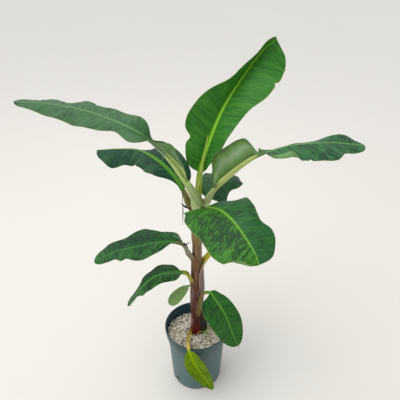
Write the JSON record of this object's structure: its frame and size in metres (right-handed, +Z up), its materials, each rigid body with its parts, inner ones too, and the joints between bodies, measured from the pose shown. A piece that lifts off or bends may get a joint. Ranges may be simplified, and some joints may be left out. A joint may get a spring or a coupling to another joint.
{
  "type": "potted banana plant",
  "caption": "Young banana plant in a round nursery pot: one red-brown pseudostem, broad arching leaves on grooved petioles, and a rolled new leaf.",
  "frame": {"origin": "centre of the pot's flat underside", "axes": "+Z up along the pseudostem, +Y from the front of the plant to its back, +X to the right"},
  "size_m": [0.9156, 0.5115, 1.1744],
  "materials": {
    "pot": "satin",
    "potting_mix": "matt, moist",
    "gravel": "matt",
    "pseudostem": "satin",
    "petiole": "satin",
    "leaf": "satin",
    "young_leaf": "satin",
    "spear": "satin"
  },
  "bodies": {
    "root": {"pot": "pot", "potting_mix": "potting_mix", "gravel_layer": "gravel", "pseudostem": "pseudostem", "spear": "spear", "petiole_top": "petiole", "petiole_far_left": "petiole", "petiole_far_right": "petiole", "petiole_back_left": "petiole", "petiole_back_right": "petiole", "petiole_front": "petiole", "petiole_mid_left": "petiole", "petiole_mid_right": "petiole", "petiole_low_left": "petiole", "petiole_small": "petiole", "petiole_low_right": "petiole", "petiole_rim": "petiole", "leaf_top": "leaf", "leaf_far_left": "leaf", "leaf_far_right": "leaf", "leaf_back_left": "leaf", "leaf_back_right": "leaf", "leaf_front": "leaf", "leaf_mid_left": "leaf", "leaf_mid_right": "leaf", "leaf_low_left": "leaf", "leaf_small": "leaf", "leaf_low_right": "leaf", "leaf_rim": "young_leaf"}
  },
  "joints": []
}
